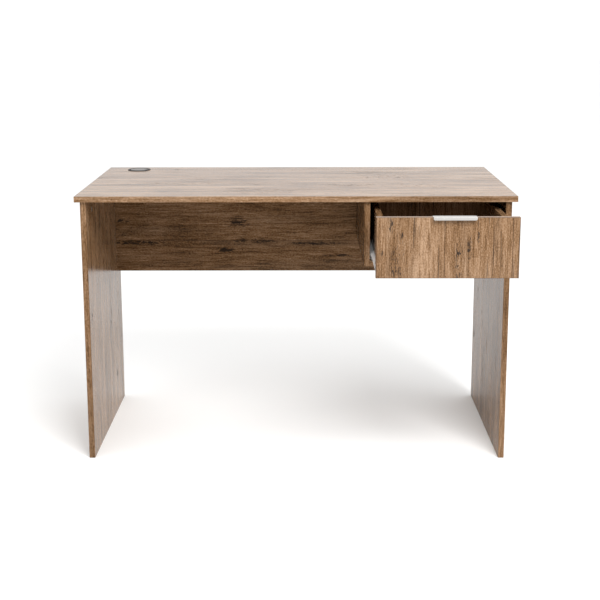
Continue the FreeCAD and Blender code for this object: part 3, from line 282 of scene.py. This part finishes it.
def new_material(name):
    material = bpy.data.materials.new(name)
    material.use_nodes = True
    material.node_tree.nodes.clear()
    tree = Tree(material.node_tree)
    surface = tree.add("ShaderNodeBsdfPrincipled")
    output = tree.add("ShaderNodeOutputMaterial")
    tree.feed(output.inputs["Surface"], surface.outputs[0])
    return material, tree, surface.inputs


def paint(node, material):
    """Give every slot of a CAD node's object the material."""
    thing = NODES[node]
    if not thing.material_slots:
        thing.data.materials.append(material)
    for slot in thing.material_slots:
        slot.link = "OBJECT"
        slot.material = material


def bump(tree, height, strength, distance):
    settings = {"Height": height, "Strength": strength, "Distance": distance}
    return tree.add("ShaderNodeBump", settings).outputs[0]


def order_of_axes(node):
    """Axis indices of a node's box, thinnest first."""
    low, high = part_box(node)
    return sorted(range(3), key=lambda i: high[i] - low[i])


def faces_along(tree, axis):
    """1 on faces that look along an axis of the object, either way, and 0 on the others."""
    normal = tree.add("ShaderNodeTexCoord").outputs["Normal"]
    return tree.math("GREATER_THAN", tree.math("ABSOLUTE", tree.split(normal)[axis]), 0.8)


def oak_point(tree, along, across, offset, seed):
    """The place on the print that a point of a board or band shows."""
    place = tree.split(tree.add("ShaderNodeTexCoord").outputs["Object"])
    return tree.join(tree.math("ADD", place[along], offset[0]),
                     tree.math("ADD", place[across], offset[1]), seed)


# Grain direction, how far along and across the print the board was cut, plank width, tone, contrast. The low
# tones of the modesty panel and the divider are painted shade.
BOARDS = {
    "desk_top": ("X", (2.10, 0.040), 0.190, 0.12, 1.60),
    "left_side_panel": ("Z", (4.30, 0.020), 0.190, 0.14, 1.40),
    "right_side_panel": ("Z", (6.10, 0.090), 0.190, -0.08, 1.30),
    # painted shade: the modesty panel's low tone darkens it as the shade under the top would
    "modesty_panel": ("X", (8.25, -0.533), 0.190, -0.13, 0.75),
    # painted shade: the divider's tone is set far below the others so the whole board comes out as dark as
    # its shaded left face
    "drawer_divider": ("Z", (1.20, 0.050), 0.190, -0.32, 1.00),
    "bay_floor": ("X", (3.60, 0.070), 0.190, 0.00, 1.00),
    "drawer_front": ("Z", (5.20, -0.378), 0.172, 0.05, 0.90),
    "drawer_left_side": ("Y", (7.70, 0.030), 0.190, 0.00, 1.00),
    "drawer_right_side": ("Y", (9.40, 0.060), 0.190, 0.00, 1.00),
    "drawer_back": ("Z", (0.80, 0.025), 0.190, 0.06, 1.00),
    "drawer_bottom": ("X", (2.90, 0.055), 0.190, 0.00, 1.00),
}

# Scars in the print of the boards seen most: place along the grain and across it, reach along and across.
SCARS = {
    "modesty_panel": [
        (-0.190, 0.591, 0.036, 0.017), (-0.101, 0.532, 0.034, 0.008), (-0.176, 0.534, 0.018, 0.009),
        (-0.225, 0.503, 0.026, 0.009), (-0.552, 0.597, 0.024, 0.006), (-0.500, 0.527, 0.090, 0.007),
        (0.060, 0.524, 0.070, 0.006), (0.130, 0.485, 0.050, 0.004), (-0.257, 0.660, 0.020, 0.006),
    ],
    "drawer_front": [
        (0.708, 0.243, 0.020, 0.007), (0.683, 0.269, 0.010, 0.004), (0.605, 0.250, 0.036, 0.011),
        (0.584, 0.264, 0.020, 0.007), (0.642, 0.413, 0.036, 0.010), (0.655, 0.441, 0.030, 0.006),
        (0.590, 0.410, 0.026, 0.008), (0.690, 0.463, 0.030, 0.004), (0.640, 0.218, 0.010, 0.004),
    ],
}
SCAR_DEPTH = {"modesty_panel": 1.0, "drawer_front": 0.72}
# How strongly each board reflects; the others have PLAIN_GLOSS.
GLOSS = {
    "desk_top": 0.23, "modesty_panel": 0.04, "drawer_front": 0.2, "drawer_back": 0.2,
    "left_side_panel": 0.17, "right_side_panel": 0.08, "drawer_divider": 0.2,
}
PLAIN_GLOSS = 0.5
BAND_GLOSS = 0.12
TOP_BAND_TONE, BAND_TONE = 0.06, -0.02


def scar_mask(tree, node, along, across):
    """1 in the middle of each scar of a board, falling off to 0 around it."""
    place = tree.split(tree.add("ShaderNodeTexCoord").outputs["Object"])

    def squared(axis, middle, reach):
        """Square of the distance from a scar's middle along one axis, in reaches."""
        off = tree.math("MULTIPLY_ADD", place[axis], 1 / reach, -middle / reach)
        return tree.math("POWER", tree.math("ABSOLUTE", off), 2.0)

    total = 0.0
    for u, v, long, wide in SCARS.get(node, ()):
        apart = tree.math("ADD", squared(along, u, long), squared(across, v, wide))
        bell = tree.math("EXPONENT", tree.math("MULTIPLY", apart, -1.0))
        total = tree.math("MAXIMUM", total, bell)
    return tree.math("MULTIPLY", total, SCAR_DEPTH[node]) if node in SCARS else total


def oak_print(tree, point, figure, tone, plank, knots, scars, contrast):
    node = tree.add("ShaderNodeGroup", node_tree=OAK)
    given = {"Point": point, "Figure": figure, "Tone": tone, "Plank": plank, "Knots": knots, "Scars": scars,
             "Contrast": contrast}
    for name, wanted in given.items():
        tree.feed(node.inputs[name], wanted)
    return node.outputs


def board_material(node, number):
    """The print on a board's two faces and bare chipboard on its edges and in its holes."""
    # for the modesty panel and the divider the tone also holds painted shade
    grain, offset, plank, tone, contrast = BOARDS[node]
    along = AXES.index(grain)
    thin = order_of_axes(node)[0]
    across = 3 - along - thin
    material, tree, surface = new_material(f"oak_{node}")
    point = oak_point(tree, along, across, offset, 0.61 * number + 0.17)
    knots = 0.0 if node in SCARS or node == "desk_top" else 1.0
    printed = oak_print(tree, point, 1.0, tone, plank, knots, scar_mask(tree, node, along, across), contrast)
    core = tree.add("ShaderNodeGroup", node_tree=CHIPBOARD)
    tree.feed(core.inputs["Point"], tree.add("ShaderNodeTexCoord").outputs["Object"])
    face = faces_along(tree, thin)
    tree.feed(surface["Base Color"], tree.mix(face, core.outputs["Color"], printed["Color"]))
    rough = tree.add("ShaderNodeMix", {"Factor": face})
    tree.feed(rough.inputs[2], core.outputs["Roughness"])
    tree.feed(rough.inputs[3], printed["Roughness"])
    tree.feed(surface["Roughness"], rough.outputs[0])
    tree.feed(surface["Normal"], bump(tree, printed["Height"], 0.22, 0.25 * MM))
    surface["Specular IOR Level"].default_value = GLOSS.get(node, PLAIN_GLOSS)
    paint(node, material)


BAND_CORE = (0.070, 0.034, 0.015)


def band_material(node, number):
    """Printed on its outward face, plain coloured plastic on the rounded edges and the ends."""
    outward, across, along = order_of_axes(node)
    material, tree, surface = new_material(f"band_{node}")
    point = oak_point(tree, along, across, (0.37 * number, 0.031 * number), 0.29 * number)
    tone = TOP_BAND_TONE if node.startswith("top_") else BAND_TONE
    printed = oak_print(tree, point, 0.0, tone, 1.0, 0.0, 0.0, 0.9)
    place = tree.add("ShaderNodeTexCoord").outputs["Object"]
    mottle = tree.noise(place, (300.0, 300.0, 300.0), detail=2.0)
    dark, light = (tuple(f * c for c in BAND_CORE) for f in (0.85, 1.15))
    core = tree.ramp(mottle, [(0.3, dark), (0.7, light)])
    face = faces_along(tree, outward)
    tree.feed(surface["Base Color"], tree.mix(face, core, printed["Color"]))
    tree.feed(surface["Roughness"], printed["Roughness"])
    tree.feed(surface["Normal"], bump(tree, printed["Height"], 0.15, 0.2 * MM))
    surface["Specular IOR Level"].default_value = BAND_GLOSS
    paint(node, material)


# ------------------------------------------------------------------ metal and plastic


def mottled_material(name, colour, spread, rough, scale, depth, coat=0.0, specular=0.5):
    """A finish with a fine grain: colour within spread of the given one, roughness from low to high."""
    material, tree, surface = new_material(name)
    place = tree.add("ShaderNodeTexCoord").outputs["Object"]
    fine = tree.noise(place, (scale,) * 3, detail=3.0, roughness=0.6)
    broad = tree.noise(place, (scale * 0.04,) * 3, detail=2.0)
    shade = tree.math("ADD", tree.math("MULTIPLY", fine, 0.6), tree.math("MULTIPLY", broad, 0.4))
    dark = tuple(c * (1.0 - spread) for c in colour)
    light = tuple(min(1.0, c * (1.0 + spread)) for c in colour)
    tree.feed(surface["Base Color"], tree.ramp(shade, [(0.3, dark), (0.7, light)]))
    tree.feed(surface["Roughness"], tree.step(fine, 0.25, 0.75, *rough))
    tree.feed(surface["Normal"], bump(tree, fine, 0.3, depth))
    surface["Coat Weight"].default_value = coat
    surface["Specular IOR Level"].default_value = specular
    return material


ZINC_DARK, ZINC_LIGHT = (0.50, 0.49, 0.46), (0.72, 0.71, 0.68)


def brushed_zinc():
    material, tree, surface = new_material("zinc_plate")
    place = tree.add("ShaderNodeTexCoord").outputs["Object"]
    scratch = tree.noise(place, (2400.0, 2400.0, 240.0), detail=3.0)
    cloud = tree.noise(place, (90.0, 90.0, 90.0), detail=2.0)
    tree.feed(surface["Base Color"], tree.ramp(cloud, [(0.3, ZINC_DARK), (0.7, ZINC_LIGHT)]))
    tree.feed(surface["Roughness"], tree.step(scratch, 0.2, 0.8, 0.22, 0.45))
    tree.feed(surface["Normal"], bump(tree, scratch, 0.2, 0.05 * MM))
    surface["Metallic"].default_value = 1.0
    return material


SLOTS = {entry["node"]: entry["material_slot"] for entry in frame["record"]["subparts"]}
FINISHES = {
    "zinc_steel": brushed_zinc(),
    "white_rail": mottled_material("white_powder_coat", (0.90, 0.90, 0.89), 0.02, (0.28, 0.42), 1500.0,
                                   depth=0.05 * MM),
    "roller_nylon": mottled_material("white_nylon", (0.72, 0.71, 0.67), 0.05, (0.35, 0.5), 700.0,
                                     depth=0.03 * MM),
    "white_pull": mottled_material("warm_white_coat", (0.315, 0.302, 0.288), 0.03, (0.26, 0.38), 1300.0,
                                   depth=0.03 * MM, coat=0.15),
    "grommet_ring": mottled_material("dark_grey_plastic", (0.034, 0.032, 0.033), 0.12, (0.50, 0.62), 1100.0,
                                     depth=0.06 * MM, specular=0.2),
    "grommet_lid": mottled_material("grey_plastic", (0.190, 0.178, 0.170), 0.08, (0.45, 0.58), 1100.0,
                                    depth=0.05 * MM, specular=0.4),
    "beech": mottled_material("beech_dowel", (0.55, 0.38, 0.22), 0.15, (0.55, 0.7), 500.0, depth=0.1 * MM),
}

for number, node in enumerate(sorted(NODES)):
    if node in BOARDS:
        board_material(node, number)
    elif SLOTS[node] == "edge_band":
        band_material(node, number)
    else:
        paint(node, FINISHES[SLOTS[node]])

# ------------------------------------------------------------------ studio


FLOOR_REACH = 30.0
FLOOR_GAP = 0.5 * MM
FLOOR_DARK, FLOOR_LIGHT = (0.92, 0.92, 0.915), (0.94, 0.94, 0.935)


def make_floor():
    mesh = bpy.data.meshes.new("floor")
    level = cad_box[0].z - FLOOR_GAP
    corners = [(x * FLOOR_REACH, y * FLOOR_REACH, level) for x, y in ((-1, -1), (1, -1), (1, 1), (-1, 1))]
    mesh.from_pydata(corners, [], [(0, 1, 2, 3)])
    floor = bpy.data.objects.new("floor", mesh)
    bpy.context.scene.collection.objects.link(floor)
    material, tree, surface = new_material("pale_floor")
    place = tree.add("ShaderNodeTexCoord").outputs["Object"]
    cloud = tree.noise(place, (0.8, 0.8, 0.8), detail=3.0)
    tree.feed(surface["Base Color"], tree.ramp(cloud, [(0.3, FLOOR_DARK), (0.7, FLOOR_LIGHT)]))
    surface["Roughness"].default_value = 0.9
    surface["Specular IOR Level"].default_value = 0.1
    mesh.materials.append(material)


WORLD_STRENGTH = 1.10
KEY_POWER = 84.0
KEY_SIZE = (1.6, 1.1)
KEY_PLACE = (0.80, -1.95, 2.45)
KEY_AIM = (0.1, -0.1, 0.5)


def make_key():
    """One broad softbox in front of the desk, above it and to its right."""
    light = bpy.data.lights.new("key", "AREA")
    light.shape = "RECTANGLE"
    light.size, light.size_y = KEY_SIZE
    light.energy = KEY_POWER
    thing = bpy.data.objects.new("key", light)
    thing.location = KEY_PLACE
    thing.rotation_euler = (Vector(KEY_AIM) - thing.location).to_track_quat("-Z", "Y").to_euler()
    bpy.context.scene.collection.objects.link(thing)


def make_world():
    world = bpy.data.worlds.new("studio")
    world.use_nodes = True
    back = world.node_tree.nodes["Background"]
    back.inputs["Color"].default_value = (1.0, 1.0, 1.0, 1.0)
    back.inputs["Strength"].default_value = WORLD_STRENGTH
    bpy.context.scene.world = world


LENS, SENSOR = 67.8, 36.0
SHIFT_DOWN = 0.111
CLIP_NEAR, CLIP_FAR = 0.1, 100.0
CAMERA_RIGHT, CAMERA_BACK, CAMERA_UP = 0.026, 3.011, 0.480   # from the middle of the top's front edge
LOOK_DOWN, HEADING, LEAN = 10.93, 0.28, -0.11                # degrees


def make_camera():
    """A 68 mm lens three metres in front of the desk, a little above it, with the view shifted down."""
    top_low, top_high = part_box("top_front_band")
    data = bpy.data.cameras.new("camera")
    data.sensor_width = SENSOR
    data.lens = LENS
    data.shift_y = -SHIFT_DOWN
    data.clip_start = CLIP_NEAR
    data.clip_end = CLIP_FAR
    camera = bpy.data.objects.new("camera", data)
    down, heading, lean = math.radians(LOOK_DOWN), math.radians(HEADING), math.radians(LEAN)
    place = Matrix.Translation(((top_low.x + top_high.x) / 2 + CAMERA_RIGHT, top_low.y - CAMERA_BACK,
                                top_high.z + CAMERA_UP))
    turn = Matrix.Rotation(heading, 4, "Z") @ Matrix.Rotation(math.pi / 2 - down, 4, "X")
    camera.matrix_world = place @ turn @ Matrix.Rotation(lean, 4, "Z")
    bpy.context.scene.collection.objects.link(camera)
    bpy.context.scene.camera = camera


make_floor()
make_world()
make_key()
make_camera()
bpy.context.scene.view_settings.view_transform = "Standard"
